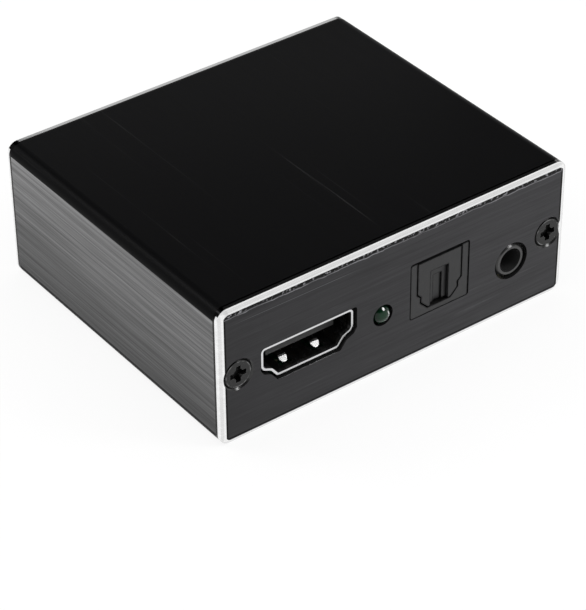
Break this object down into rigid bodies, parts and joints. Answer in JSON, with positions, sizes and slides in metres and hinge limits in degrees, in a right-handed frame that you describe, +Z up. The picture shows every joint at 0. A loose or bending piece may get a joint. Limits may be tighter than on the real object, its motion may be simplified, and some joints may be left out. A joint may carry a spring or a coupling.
{
  "type": "hdmi audio extractor",
  "caption": "Small flat aluminium box that passes a video signal through and splits its sound off to an optical socket and an audio jack.",
  "frame": {"origin": "middle of the underside that the box rests on", "axes": "+Z up; the output end faces -Y and the input end +Y; +X is to the right when the output end is seen from outside"},
  "size_m": [0.057, 0.0514, 0.021],
  "materials": {
    "black_sleeve": "black anodised, brushed lengthwise",
    "dark_plate": "dark grey anodised, brushed, bright cut bevel",
    "black_screw": "black oxide",
    "bright_shell": "bright plated sheet",
    "black_plastic": "matte black",
    "dark_plastic": "matte dark grey",
    "contact_gold": "gold plated",
    "plated_wire": "tinned",
    "board_green": "green solder mask",
    "base_brown": "phenolic",
    "lamp_green": "tinted clear resin",
    "lamp_red": "tinted clear resin",
    "chip_black": "matte moulded",
    "can_metal": "satin",
    "ferrite": "ferrite grey",
    "ceramic_tan": "ceramic"
  },
  "bodies": {
    "case": {"case_sleeve": "black_sleeve", "output_plate": "dark_plate", "input_plate": "dark_plate", "output_plate_screws": "black_screw", "input_plate_screws": "black_screw", "circuit_board": "board_green", "video_out_shell": "bright_shell", "video_out_insulator": "black_plastic", "video_out_contacts": "contact_gold", "video_in_shell": "bright_shell", "video_in_insulator": "black_plastic", "video_in_contacts": "contact_gold", "optical_housing": "dark_plastic", "optical_door_pin": "plated_wire", "optical_door_spring": "plated_wire", "optical_emitter": "black_plastic", "optical_leads": "plated_wire", "audio_jack_body": "black_plastic", "audio_jack_contacts": "plated_wire", "power_socket_shell": "bright_shell", "power_socket_insulator": "black_plastic", "power_socket_contacts": "contact_gold", "switch_frame": "plated_wire", "switch_base": "base_brown", "switch_terminals": "plated_wire", "green_lamp": "lamp_green", "red_lamp": "lamp_red", "lamp_leads": "plated_wire", "video_chip": "chip_black", "audio_chip": "chip_black", "memory_chip": "chip_black", "voltage_regulator": "chip_black", "crystal": "can_metal", "electrolytic_capacitors": "can_metal", "power_inductor": "ferrite", "chip_resistors": "chip_black", "ceramic_capacitors": "ceramic_tan"},
    "switch_slider": {"switch_knob": "black_plastic", "switch_bridge": "contact_gold"},
    "optical_flap": {"optical_door": "dark_plastic"}
  },
  "joints": [
    {"name": "switch_slide", "type": "slide", "parent": "case", "child": "switch_slider", "axis": [1, 0, 0], "range_m": [0, 0.004]},
    {"name": "optical_door_swing", "type": "hinge", "parent": "case", "child": "optical_flap", "pos_m": [0.0068, -0.0237, 0.0142], "axis": [1, 0, 0], "range_deg": [0, 80], "stiffness_Nm_per_rad": 0.0003, "springref_deg": -20.05, "deforming": ["optical_door_spring"]}
  ]
}
